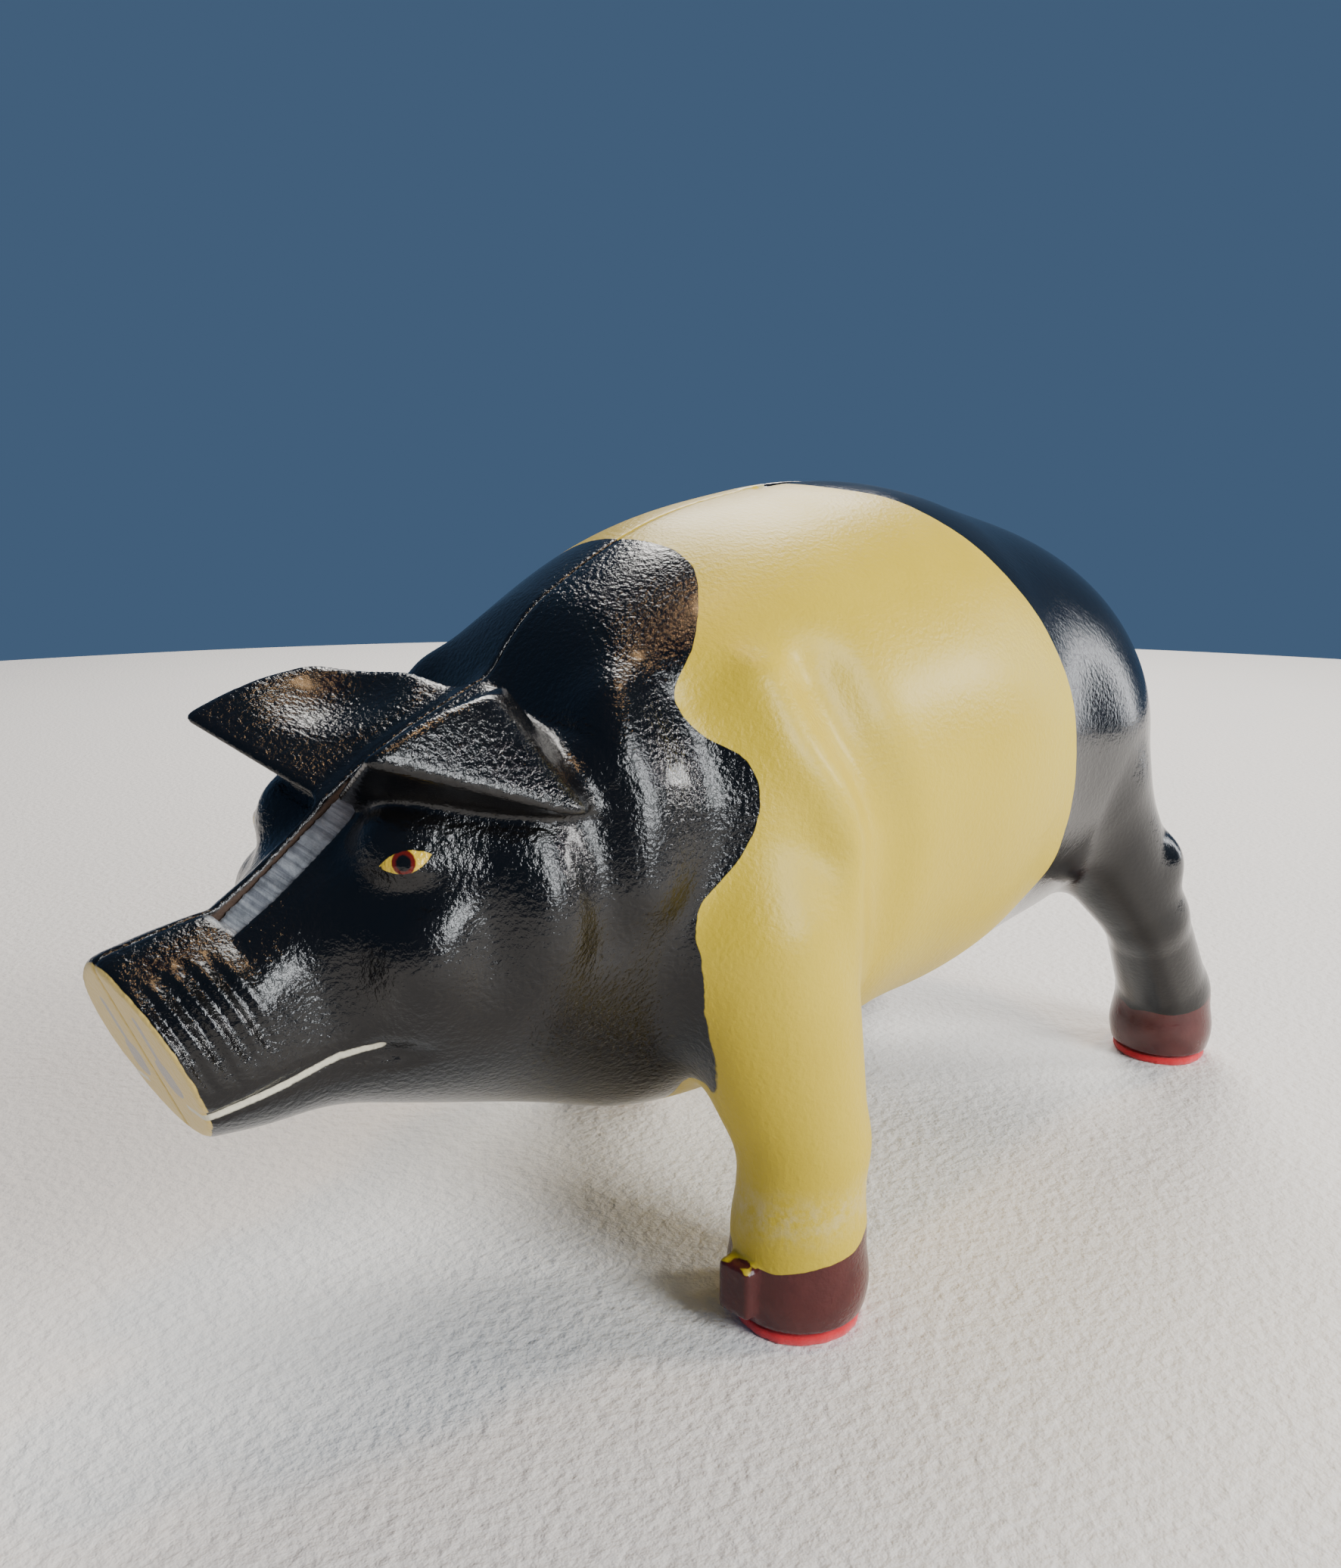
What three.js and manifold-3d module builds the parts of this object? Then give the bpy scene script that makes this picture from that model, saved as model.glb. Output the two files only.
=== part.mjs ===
// Cast iron still bank in the form of a standing pig.
// Two hollow castings meet on the plane Y = 0 and one long screw holds them together.
// Millimetres, +Z up. The pig faces -X, its left side is -Y, and the origin is on the
// ground under the middle of its length.
import * as THREE from 'three';
import { ParametricGeometry } from 'three/addons/geometries/ParametricGeometry.js';
import { ConvexGeometry } from 'three/addons/geometries/ConvexGeometry.js';
import { mergeVertices } from 'three/addons/utils/BufferGeometryUtils.js';
import Module from 'manifold-3d';

// ---- Driving dimensions -----------------------------------------------------------

const bankLength = 266; // snout rim to the back of the hind hoof
const trunkWidth = 112; // across the barrel of the body
const bankHeight = 147; // ground to the top of the back

const wall = 4; // thickness of the hollow castings
const fitGap = 0.3; // between pieces that touch

const hoofSpread = 92; // between the left and right hoof centres
const hoofRadius = 13;
const pasternRadius = 11.6; // narrowest part of a leg, just above the hoof
const hoofHeight = 15;

const padInset = 1.5; // the felt pad is this much smaller than its hoof all round
const padThickness = 2;

const slotLength = 30; // coin slot on the spine
const slotWidth = 4.4;
const slotCentreX = 17;

const screwDiameter = 5;
const screwHeadDiameter = 10.5;
const screwHeadHeight = 3.6;
const screwGroove = 1.2; // width and depth of the driver groove
const screwX = 34;
const screwZ = 84;
const screwClearance = 0.4; // all round the shank
const bossRadius = 8; // post that the screw is threaded into
const threadEndGap = 3; // unused bore beyond the tip of the screw
const threadLength = 26; // length of shank inside the post
const headPadRadius = 11; // thickened seat under the screw head
const headPadDepth = 9;
const headSink = 1.5; // the head lies this far below the skin

const lugPlaces = [[16, -1], [48, -1], [44, 1]]; // [X, below or above] of the locating lugs
const lugLength = 10;
const lugReach = 4; // how far a lug crosses the seam
const lugRoot = 8; // length of its foot on the left casting
const lugThickness = 3;
const lugClearance = 2; // from the other casting's inner face

// ---- The pattern: the sculpted form at its drawn size -----------------------------

// Extents of the form below. The overall sizes above stretch it.
const pattern = { length: 266, width: 112, height: 147 };
const stretch = new THREE.Vector3(
  bankLength / pattern.length,
  trunkWidth / pattern.width,
  bankHeight / pattern.height,
);
const snoutCentre = new THREE.Vector3(-128.1, 0, 65.4);
const snoutTilt = THREE.MathUtils.degToRad(22); // the snout's top edge leads
const v3 = (x, y, z) => new THREE.Vector3(x, y, z);

// Ellipsoids [centre, radii] of the body.
const barrel = [v3(24.4, 0, 89.2), v3(85.2, 53.8, 57.8)];
const shoulders = [v3(-20, 0, 81.8), v3(41, 44, 49)];
const rump = [v3(81.5, 0, 87), v3(44, 49.3, 46)];
const cheek = [v3(-76.4, -11.5, 74.4), v3(25, 20, 19.2)];
const brow = [v3(-87.4, -15.3, 92.3), v3(12, 8, 8)];

// Tapered round bars [end, end, radius, radius] of the neck and head.
const neck = [v3(-25, 0, 79.8), v3(-69, 0, 84.8), 38.7, 32.3];
const faceBridge = [v3(-70, 0, 97), v3(-118, 0, 70.5), 15, 13.3];
const throat = [v3(-105, 0, 64), v3(-42, 0, 59.5), 12, 29];
const snout = [v3(-116, 0, 67.5), v3(-130, 0, 65), 13.2, 14.4];

// Legs: hoof position, then the leg's joints relative to it [back, inward, up, radius].
const frontJoints = [
  [-0.9, 12, 68, 19.2],
  [0.9, 0, 33, pasternRadius],
];
const hindJoints = [
  [-36, 11, 74, 17.5],
  [-18, -1, 42, 10.5],
];
const legs = [
  { name: 'front_left', x: -35, side: -1, joints: frontJoints },
  { name: 'front_right', x: 5, side: 1, joints: frontJoints },
  { name: 'hind_left', x: 119.5, side: -1, joints: hindJoints },
  { name: 'hind_right', x: 97, side: 1, joints: hindJoints },
];

// Ear: a hood that points forward, from the nape to its lower rim.
const earTip = v3(-107.5, -26.7, 108);
const earUpperRim = [v3(-94, -26, 113.4), v3(-83, -24, 115.4), v3(-74, -15, 114)];
const earLowerRim = [v3(-92, -29.5, 103.5), v3(-84, -33.5, 100.5), v3(-75, -38, 96.5)];
const earRoot = [v3(-70, -4, 104), v3(-66, -30, 96), v3(-86, -14, 96)];

// ---- Distance fields of the form --------------------------------------------------

function ellipsoidField([centre, radii], point) {
  const offset = point.clone().sub(centre);
  const near = offset.clone().divide(radii).length();
  const steep = offset.clone().divide(radii).divide(radii).length();
  return steep > 0 ? (near * (near - 1)) / steep : -Math.min(radii.x, radii.y, radii.z);
}

function taperField([start, end, startRadius, endRadius], point) {
  const axis = end.clone().sub(start);
  const length = axis.length();
  const offset = point.clone().sub(start);
  const along = offset.dot(axis) / length;
  const across = Math.sqrt(Math.max(offset.lengthSq() - along * along, 0));
  const slope = (endRadius - startRadius) / length;
  const lean = slope / Math.sqrt(Math.max(1 - slope * slope, 1e-6));
  const share = THREE.MathUtils.clamp((along + lean * across) / length, 0, 1);
  const foot = start.clone().addScaledVector(axis, share);
  return point.distanceTo(foot) - THREE.MathUtils.lerp(startRadius, endRadius, share);
}

function blend(a, b, radius) {
  const overlap = Math.max(radius - Math.abs(a - b), 0) / radius;
  return Math.min(a, b) - overlap * overlap * radius * 0.25;
}

// Body and head without legs and ears. Both sides are alike.
function trunkField(point) {
  const p = v3(point.x, -Math.abs(point.y), point.z);
  let depth = ellipsoidField(barrel, p);
  depth = blend(depth, ellipsoidField(shoulders, p), 20);
  depth = blend(depth, ellipsoidField(rump, p), 20);
  depth = blend(depth, taperField(neck, p), 22);
  depth = blend(depth, taperField(faceBridge, p), 12);
  depth = blend(depth, ellipsoidField(cheek, p), 14);
  depth = blend(depth, ellipsoidField(brow, p), 10);
  depth = blend(depth, taperField(snout, p), 8);
  return blend(depth, taperField(throat, p), 16);
}

// A leg's joints in the pattern's frame, from the body down to the hoof.
function legJoints(leg) {
  const y = leg.side * hoofSpread / 2;
  const joints = leg.joints.map(([back, inward, up, radius]) => (
    [v3(leg.x + back, y - leg.side * inward, up), radius]
  ));
  joints.push([v3(leg.x, y, hoofHeight), pasternRadius]);
  joints.push([v3(leg.x, y, 0), hoofRadius]);
  return joints;
}

function legField(leg, point) {
  const joints = legJoints(leg);
  let depth = Infinity;
  for (let i = 1; i < joints.length; i += 1) {
    const [start, startRadius] = joints[i - 1];
    const [end, endRadius] = joints[i];
    const bone = taperField([start, end, startRadius, endRadius], point);
    depth = i === 1 ? bone : blend(depth, bone, 5);
  }
  return depth;
}

// First point along a ray from inside where the field crosses zero.
function castRay(field, start, direction, reach = 150) {
  const at = (distance) => start.clone().addScaledVector(direction, distance);
  const step = 2;
  let inside = 0;
  while (inside < reach && field(at(inside + step)) < 0) inside += step;
  let outside = inside + step;
  for (let i = 0; i < 24; i += 1) {
    const middle = (inside + outside) / 2;
    if (field(at(middle)) < 0) inside = middle;
    else outside = middle;
  }
  return at(inside);
}

// ---- Skins as parametric surfaces -------------------------------------------------

const spine = new THREE.CatmullRomCurve3([
  snoutCentre,
  v3(-117, 0, 68),
  v3(-100, 0, 75),
  v3(-80, 0, 80),
  v3(-50, 0, 83),
  v3(-10, 0, 87),
  v3(40, 0, 88),
  v3(75, 0, 88),
]);
const spineRings = 23;
const rumpRings = 7; // rings that fan round the rump from the end of the spine
const ringSides = 32;
const trunkStacks = 1 + spineRings + rumpRings;

// A point of the trunk's skin on the pattern. Ring 0 is the middle of the snout's
// face and the last ring is the point of the rump.
function skinPoint(turn, ring) {
  const along = THREE.MathUtils.clamp((ring - 1) / spineRings, 0, 1);
  const start = spine.getPointAt(along);
  if (ring < 0.5) return start;
  const fan = THREE.MathUtils.clamp((ring - 1 - spineRings) / rumpRings, 0, 1) * Math.PI / 2;
  const lean = -snoutTilt * (1 - THREE.MathUtils.smoothstep(along, 0, 0.3));
  const angle = turn * 2 * Math.PI;
  const direction = v3(
    Math.sin(angle) * Math.sin(lean) * Math.cos(fan) + Math.sin(fan),
    Math.cos(angle) * Math.cos(fan),
    Math.sin(angle) * Math.cos(lean) * Math.cos(fan),
  ).normalize();
  return castRay(trunkField, start, direction);
}

function skinNormal(point) {
  const step = 0.5;
  const slope = (axis) => (
    trunkField(point.clone().addScaledVector(axis, step))
      - trunkField(point.clone().addScaledVector(axis, -step))
  );
  return v3(slope(v3(1, 0, 0)), slope(v3(0, 1, 0)), slope(v3(0, 0, 1)))
    .divide(stretch)
    .normalize();
}

function trunkSurface(turn, v, target) {
  target.copy(skinPoint(turn, v * trunkStacks)).multiply(stretch);
}

// The inside face: the skin moved in by the wall, closed off behind the muzzle.
const cavityStacks = 22;
const cavitySides = 20;
const cavityFirstRing = 1 + spineRings * 0.16;

function cavitySurface(turn, v, target) {
  const ring = THREE.MathUtils.lerp(cavityFirstRing, trunkStacks, v);
  const first = v < 0.5 / cavityStacks;
  const share = (cavityFirstRing - 1) / spineRings;
  if (first) {
    target.copy(spine.getPointAt(share)).multiply(stretch);
    return;
  }
  const skin = skinPoint(turn, ring);
  const normal = skinNormal(skin);
  target.copy(skin).multiply(stretch).addScaledVector(normal, -wall);
}

// A leg's skin in level rings, from its rounded root inside the body down to the hoof.
const legSides = 16;
const legRings = 9; // from the root to the top of the hoof
const hoofRings = 2;

function legSurface(leg) {
  const joints = legJoints(leg);
  const [[root, rootRadius]] = joints;
  const top = root.z + rootRadius;
  const stacks = legRings + hoofRings + 2;
  const heightAt = (ring) => {
    if (ring > legRings) return hoofHeight * Math.max(1 - (ring - legRings) / hoofRings, 0);
    const share = 1 - Math.cos((Math.max(ring, 0.5) / legRings) * Math.PI / 2);
    return THREE.MathUtils.lerp(top, hoofHeight, share);
  };
  const centreAt = (z) => {
    const below = joints.findIndex(([centre]) => z >= centre.z);
    if (below < 1) return (below === 0 ? root : joints.at(-1)[0]).clone().setZ(z);
    const [upper, lower] = [joints[below - 1][0], joints[below][0]];
    return upper.clone().lerp(lower, (upper.z - z) / (upper.z - lower.z));
  };
  const surface = (turn, v, target) => {
    const ring = Math.round(v * stacks) - 1;
    const closed = ring < 0 || ring > legRings + hoofRings;
    const centre = centreAt(ring < 0 ? top : heightAt(ring));
    const angle = turn * 2 * Math.PI;
    const direction = v3(Math.cos(angle), Math.sin(angle), 0);
    const skin = closed ? centre : castRay((p) => legField(leg, p), centre, direction, 60);
    target.copy(skin).multiply(stretch);
    target.z = Math.max(target.z, padThickness + fitGap);
  };
  return new ParametricGeometry(surface, legSides, stacks);
}

// ---- Solids ------------------------------------------------------------------------

const wasm = await Module();
wasm.setup();

// Closed solid from a geometry: shared corners merged, collapsed triangles dropped.
function solid(geometry) {
  const bare = geometry.index ? geometry.clone() : geometry;
  bare.deleteAttribute('normal');
  bare.deleteAttribute('uv');
  const merged = mergeVertices(bare, 1e-3);
  const position = merged.attributes.position;
  const corners = [];
  let volume = 0;
  const [a, b, c] = [v3(), v3(), v3()];
  for (let i = 0; i < merged.index.count; i += 3) {
    const triple = [0, 1, 2].map((k) => merged.index.getX(i + k));
    if (new Set(triple).size < 3) continue;
    a.fromBufferAttribute(position, triple[0]);
    b.fromBufferAttribute(position, triple[1]);
    c.fromBufferAttribute(position, triple[2]);
    volume += a.dot(b.clone().cross(c));
    corners.push(...triple);
  }
  if (volume < 0) {
    for (let i = 0; i < corners.length; i += 3) {
      [corners[i + 1], corners[i + 2]] = [corners[i + 2], corners[i + 1]];
    }
  }
  return new wasm.Manifold(new wasm.Mesh({
    numProp: 3,
    vertProperties: new Float32Array(position.array),
    triVerts: new Uint32Array(corners),
  }));
}

function geometryOf(manifold) {
  const mesh = manifold.getMesh();
  const geometry = new THREE.BufferGeometry();
  geometry.setAttribute('position', new THREE.BufferAttribute(mesh.vertProperties, 3));
  geometry.setIndex(new THREE.BufferAttribute(mesh.triVerts, 1));
  const flat = geometry.toNonIndexed();
  flat.computeVertexNormals();
  return flat;
}

// Box between two opposite corners.
function block(low, high) {
  const size = high.clone().sub(low);
  const middle = low.clone().add(high).multiplyScalar(0.5);
  return solid(new THREE.BoxGeometry(size.x, size.y, size.z).translate(middle.x, middle.y, middle.z));
}

// Round bar along Y between two values of Y, on the screw's axis.
function bar(radius, lowY, highY, sides = 24) {
  const cylinder = new THREE.CylinderGeometry(radius, radius, highY - lowY, sides);
  return solid(cylinder.translate(screwX, (lowY + highY) / 2, screwZ));
}

// Distance from the centre plane to the trunk's skin at the screw.
const skinAtScrew = castRay(
  trunkField,
  v3(screwX, 0, screwZ).divide(stretch),
  v3(0, 1, 0),
).y * stretch.y;

// Height of the trunk's skin on the centre plane above or below a point along X.
function skinHeight(x, up) {
  const start = v3(x / stretch.x, 0, 88);
  return castRay(trunkField, start, v3(0, 0, up)).z * stretch.z;
}

const trunk = solid(new ParametricGeometry(trunkSurface, ringSides, trunkStacks));
const cavity = solid(new ParametricGeometry(cavitySurface, cavitySides, cavityStacks));

function ear(side) {
  const points = [earTip, ...earUpperRim, ...earLowerRim, ...earRoot].map((point) => (
    v3(point.x, point.y * -side, point.z).multiply(stretch)
  ));
  return solid(new ConvexGeometry(points));
}

// Screw layout along its axis, from the head seat to the tip.
const headSeatY = skinAtScrew - headSink - screwHeadHeight;
const boreEndY = wall - skinAtScrew;
const tipY = boreEndY + threadEndGap;
const bossEndY = tipY + threadLength;
const slotTop = skinHeight(slotCentreX, 1);

function coinSlot() {
  const half = v3(slotLength / 2, slotWidth / 2, 3 * wall);
  const middle = v3(slotCentreX, 0, slotTop);
  return block(middle.clone().sub(half), middle.clone().add(half));
}

// One lug: a foot fused to the left casting and a tongue that crosses the seam.
function locatingLug(x, up) {
  const inner = skinHeight(x, up) - up * wall;
  const tongueNear = inner - up * lugClearance;
  const tongueFar = tongueNear - up * lugThickness;
  const span = (z1, z2, y1, y2) => block(
    v3(x - lugLength / 2, y1, Math.min(z1, z2)),
    v3(x + lugLength / 2, y2, Math.max(z1, z2)),
  );
  const foot = span(inner + up * wall / 2, tongueFar, -lugRoot, -1);
  return foot.add(span(tongueNear, tongueFar, -lugRoot, lugReach));
}

function halfCasting(side) {
  let body = trunk;
  for (const leg of legs.filter((each) => each.side === side)) {
    body = body.add(solid(legSurface(leg)));
  }
  body = body.add(ear(side)).subtract(cavity);
  if (side < 0) {
    body = body
      .add(bar(bossRadius, -skinAtScrew + wall / 2, bossEndY))
      .subtract(bar(screwDiameter / 2 + screwClearance, boreEndY, bossEndY + 1, 16));
  } else {
    body = body
      .add(bar(headPadRadius, skinAtScrew - headPadDepth - headSink, skinAtScrew - wall / 2))
      .subtract(bar(screwHeadDiameter / 2 + screwClearance, headSeatY - fitGap, skinAtScrew + wall))
      .subtract(bar(screwDiameter / 2 + screwClearance, 0, skinAtScrew, 16));
  }
  body = body.subtract(coinSlot());
  const far = v3(bankLength, bankLength, bankHeight * 2);
  const cut = side * fitGap / 2;
  const otherSide = side < 0
    ? block(v3(-far.x, cut, -far.z), far)
    : block(far.clone().negate(), v3(far.x, cut, far.z));
  body = body.subtract(otherSide);
  if (side < 0) {
    for (const [x, up] of lugPlaces) body = body.add(locatingLug(x, up));
  }
  return body;
}

function screw() {
  const shank = bar(screwDiameter / 2, tipY, headSeatY + 1, 16);
  const head = bar(screwHeadDiameter / 2, headSeatY, headSeatY + screwHeadHeight);
  const top = headSeatY + screwHeadHeight;
  const reach = screwHeadDiameter;
  const groove = block(
    v3(screwX - reach, top - screwGroove, screwZ - screwGroove / 2),
    v3(screwX + reach, top + screwGroove, screwZ + screwGroove / 2),
  );
  return shank.add(head).subtract(groove);
}

function feltPad(leg) {
  const padRadius = hoofRadius * Math.min(stretch.x, stretch.y) - padInset;
  const cylinder = new THREE.CylinderGeometry(padRadius, padRadius, padThickness, 24);
  cylinder.rotateX(Math.PI / 2);
  const y = leg.side * hoofSpread / 2 * stretch.y;
  return cylinder.translate(leg.x * stretch.x, y, padThickness / 2);
}

// ---- The assembly -------------------------------------------------------------------

const paintedIron = () => new THREE.MeshStandardMaterial({
  color: 0xd2bb78,
  roughness: 0.35,
  metalness: 0,
});
const steel = () => new THREE.MeshStandardMaterial({
  color: 0x9a948a,
  roughness: 0.4,
  metalness: 1,
});
const redFelt = () => new THREE.MeshStandardMaterial({
  color: 0xc41a22,
  roughness: 0.95,
  metalness: 0,
});

function part(name, geometry, material) {
  const mesh = new THREE.Mesh(geometry, material);
  mesh.name = name;
  return mesh;
}

const bank = new THREE.Group();
bank.add(part('left_half_casting', geometryOf(halfCasting(-1)), paintedIron()));
bank.add(part('right_half_casting', geometryOf(halfCasting(1)), paintedIron()));
bank.add(part('assembly_screw', geometryOf(screw()), steel()));
for (const leg of legs) {
  bank.add(part(`felt_pad_${leg.name}`, feltPad(leg), redFelt()));
}

// The origin is under the middle of the whole length.
const extent = new THREE.Box3().setFromObject(bank);
bank.position.x = -(extent.min.x + extent.max.x) / 2;

export default bank;
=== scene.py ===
"""Looks of the cast iron still bank: a standing pig in cream, black and maroon enamel.

The form is a field of blended solids, in millimetres, in the pig's frame: -X is the snout,
-Y the pig's left side, Z = 0 the ground. Each casting is one half of it, meshed finely.
"""
import math
from concurrent.futures import ThreadPoolExecutor

import bmesh
import bpy
import numpy as np
import openvdb
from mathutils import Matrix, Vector


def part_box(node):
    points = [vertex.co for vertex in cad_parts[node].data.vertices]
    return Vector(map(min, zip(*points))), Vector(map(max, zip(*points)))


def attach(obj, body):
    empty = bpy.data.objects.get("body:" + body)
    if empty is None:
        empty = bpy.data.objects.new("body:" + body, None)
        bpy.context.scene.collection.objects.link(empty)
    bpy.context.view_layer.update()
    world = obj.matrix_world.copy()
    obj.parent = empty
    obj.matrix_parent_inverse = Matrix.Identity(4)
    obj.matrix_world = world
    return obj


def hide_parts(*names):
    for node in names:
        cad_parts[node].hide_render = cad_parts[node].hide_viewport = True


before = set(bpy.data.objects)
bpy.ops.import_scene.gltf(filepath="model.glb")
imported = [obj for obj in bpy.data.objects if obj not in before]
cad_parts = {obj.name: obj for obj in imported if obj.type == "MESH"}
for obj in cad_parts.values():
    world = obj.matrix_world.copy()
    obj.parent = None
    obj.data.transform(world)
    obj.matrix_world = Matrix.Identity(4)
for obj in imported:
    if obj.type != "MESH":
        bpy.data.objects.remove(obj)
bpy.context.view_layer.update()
MM = 0.001


# ---- Places taken from the frame ----------------------------------------------------

def middle(node):
    """Middle of a CAD node, in millimetres."""
    low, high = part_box(node)
    return (low + high) / 2 / MM


def extent(node):
    """Size of a CAD node, in millimetres."""
    low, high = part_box(node)
    return (high - low) / MM


PLACES = ("front_left", "front_right", "hind_left", "hind_right")
FRONT_HOOF_X = -35.0                          # front left hoof in the pig's frame
SHIFT = middle("felt_pad_front_left").x - FRONT_HOOF_X
FEET = {
    place: (middle(f"felt_pad_{place}").x - SHIFT, middle(f"felt_pad_{place}").y)
    for place in PLACES
}
PAD_RADIUS = extent("felt_pad_front_left").x / 2
PAD_THICKNESS = extent("felt_pad_front_left").z
HOOF_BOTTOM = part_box("left_half_casting")[0].z / MM
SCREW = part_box("assembly_screw")
SCREW_X = middle("assembly_screw").x - SHIFT
SCREW_Z = middle("assembly_screw").z
SCREW_TIP = SCREW[0].y / MM
SCREW_TOP = SCREW[1].y / MM
HEAD_RADIUS = extent("assembly_screw").x / 2

VOXEL = 0.7            # grid that the castings are meshed on
SKIN_INSET = 0.25                             # keeps the skin inside the CAD's box
WALL = 4.0
HALF_GAP = 0.15                               # each casting stops this far from Y = 0
SLOT_LENGTH = 30.0
SLOT_WIDTH = 4.4
SLOT_X = 17.0
SHANK_RADIUS = 2.5
THREAD_PITCH = 1.0
THREAD_DEPTH = 0.55
HEAD_HEIGHT = 3.6
HEAD_SEAT = SCREW_TOP - HEAD_HEIGHT
HEAD_SINK = 1.5                               # the head lies this far below the skin
SKIN_AT_SCREW = SCREW_TOP + HEAD_SINK
SEAT_RADIUS = 11.0                            # thickened wall under the screw's head
SEAT_DEPTH = 10.5
POST_RADIUS = 8.0                             # post that takes the screw's thread
THREAD_LENGTH = 26.0
BORE_END = WALL - SKIN_AT_SCREW               # the bore stops at the left half's wall
POST_END = SCREW_TIP + THREAD_LENGTH
LUG_HALF_LENGTH = 5.0
LUG_ROOT = 8.0                                # how far a lug goes into the left half
LUG_REACH = 4.0                               # how far a lug crosses the seam
LOW_LUG_LEVEL = 50.0                          # level that the lower lugs are set out from


# ---- Field building blocks -----------------------------------------------------------

def vec(*values):
    return np.array(values, np.float32)


def ellipsoid(p, centre, radii):
    """Signed distance, nearly, to an ellipsoid."""
    offset = (p - vec(*centre)) / vec(*radii)
    near = np.sqrt((offset ** 2).sum(-1))
    steep = np.sqrt(((offset / vec(*radii)) ** 2).sum(-1)) + 1e-6
    return near * (near - 1) / steep


def to_bar(p, start, end):
    """Distance to a straight line from start to end, and the share along it."""
    start = vec(*start)
    axis = vec(*end) - start
    offset = p - start
    share = np.clip(offset @ axis / (axis @ axis), 0, 1)
    return np.sqrt(((offset - share[..., None] * axis) ** 2).sum(-1)), share


def bar(p, start, end, start_radius, end_radius):
    """Signed distance to a round bar that tapers from one end to the other."""
    first = vec(*start)
    axis = vec(*end) - first
    length = float(np.sqrt(axis @ axis))
    offset = p - first
    along = offset @ axis / length
    across = np.sqrt(np.maximum((offset ** 2).sum(-1) - along ** 2, 0))
    lean = (end_radius - start_radius) / length
    lean = lean / math.sqrt(max(1 - lean * lean, 1e-6))
    share = np.clip((along + lean * across) / length, 0, 1)
    away = np.sqrt((along - share * length) ** 2 + across ** 2)
    return away - (start_radius + (end_radius - start_radius) * share)


def block(p, low, high):
    """Signed distance to a box between two corners."""
    half = (vec(*high) - vec(*low)) / 2
    beyond = np.abs(p - vec(*low) - half) - half
    outside = np.sqrt((np.maximum(beyond, 0) ** 2).sum(-1))
    return outside + np.minimum(beyond.max(-1), 0)


def drum(p, radius, low, high):
    """Signed distance, nearly, to a round bar on the screw's axis, from Y = low to high."""
    across = np.sqrt((p[..., 0] - SCREW_X) ** 2 + (p[..., 2] - SCREW_Z) ** 2) - radius
    return np.maximum(across, np.abs(p[..., 1] - (low + high) / 2) - (high - low) / 2)


def join(a, b, radius):
    """Union with a fillet."""
    overlap = np.maximum(radius - np.abs(a - b), 0) / radius
    return np.minimum(a, b) - overlap ** 2 * (radius * 0.25)


def cut(a, b, radius):
    """Solid a less solid b, with a rounded edge."""
    return -join(-a, b, radius)


def both(a, b, radius):
    """What solids a and b share, with a rounded edge."""
    return -join(-a, -b, radius)


def swell(p, centre, radii, height):
    """A smooth swelling of the skin, or a dent where height < 0."""
    offset = (p - vec(*centre)) / vec(*radii)
    return -height * np.exp(-(offset ** 2).sum(-1))


def welt(p, points, radius, height):
    """A smooth welt of the skin along a line of points, or a crease where height < 0."""
    near = np.full(p.shape[:-1], np.inf, np.float32)
    for start, end in zip(points[:-1], points[1:]):
        near = np.minimum(near, to_bar(p, start, end)[0])
    return -height * np.exp(-(near / radius) ** 2)


def hull_planes(points):
    """Outward planes (normal, distance) round a set of points."""
    shape = bmesh.new()
    for point in points:
        shape.verts.new(point)
    bmesh.ops.convex_hull(shape, input=shape.verts)
    heart = sum((Vector(point) for point in points), Vector()) / len(points)
    planes = []
    for face in shape.faces:
        face.normal_update()
        normal = face.normal.copy()
        distance = normal.dot(face.verts[0].co)
        if normal.dot(heart) > distance:
            normal, distance = -normal, -distance
        if not any(normal.dot(known) > 0.999 and abs(distance - d) < 0.1 for known, d in planes):
            planes.append((normal, distance))
    shape.free()
    return [(vec(*normal), distance) for normal, distance in planes]


def hull(p, planes, radius):
    """Signed distance, nearly, to a convex solid with rounded edges."""
    depth = p @ planes[0][0] - planes[0][1]
    for normal, distance in planes[1:]:
        depth = both(depth, p @ normal - distance, radius)
    return depth


# ---- The pig -------------------------------------------------------------------------
# Given for the left side, Y <= 0, and mirrored, except for the stance of the legs.

SNOUT = vec(-128.1, 0, 65.4)                  # middle of the snout's flat face
SNOUT_TILT = math.radians(22)
SNOUT_NORMAL = vec(-math.cos(SNOUT_TILT), 0, -math.sin(SNOUT_TILT))
SNOUT_UP = vec(-math.sin(SNOUT_TILT), 0, math.cos(SNOUT_TILT))

# Crest of the face in the mid-plane, from the snout back to the nape: X, height, radius.
CREST = (
    (-130, 77.0, 2.8), (-122, 78.6, 2.2), (-114.1, 80.6, 2.2), (-107.1, 85.2, 2.2),
    (-99.9, 90.7, 2.2), (-90.8, 97.5, 2.2), (-80, 103.6, 2.2), (-66, 109.0, 2.2),
)
CREST_START = vec(-114.1, 0, 83.6)            # top of the crest where the face's ridge starts
CREST_WAY = (0.8095, 0, 0.587)                # along the ridge, up and back
CREST_UP = vec(-0.587, 0, 0.8095)
BROW_START = vec(-80, 0, 106.5)               # the crest is less steep from here back
BROW_UP = vec(-0.412, 0, 0.911)
ROOF_LEAN = math.radians(13)                  # how far the face's flanks turn to the side
ROOF_DROP = 1.3                               # from the crest down to the flanks
GROUND_LEAN = math.radians(27)                # how far the ground band turns to the side
GROUND_DEPTH = 0.2                            # taken off the crest's top
GROUND_LENGTH = (-1.5, 26)                    # stretch of the crest that was ground

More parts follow.
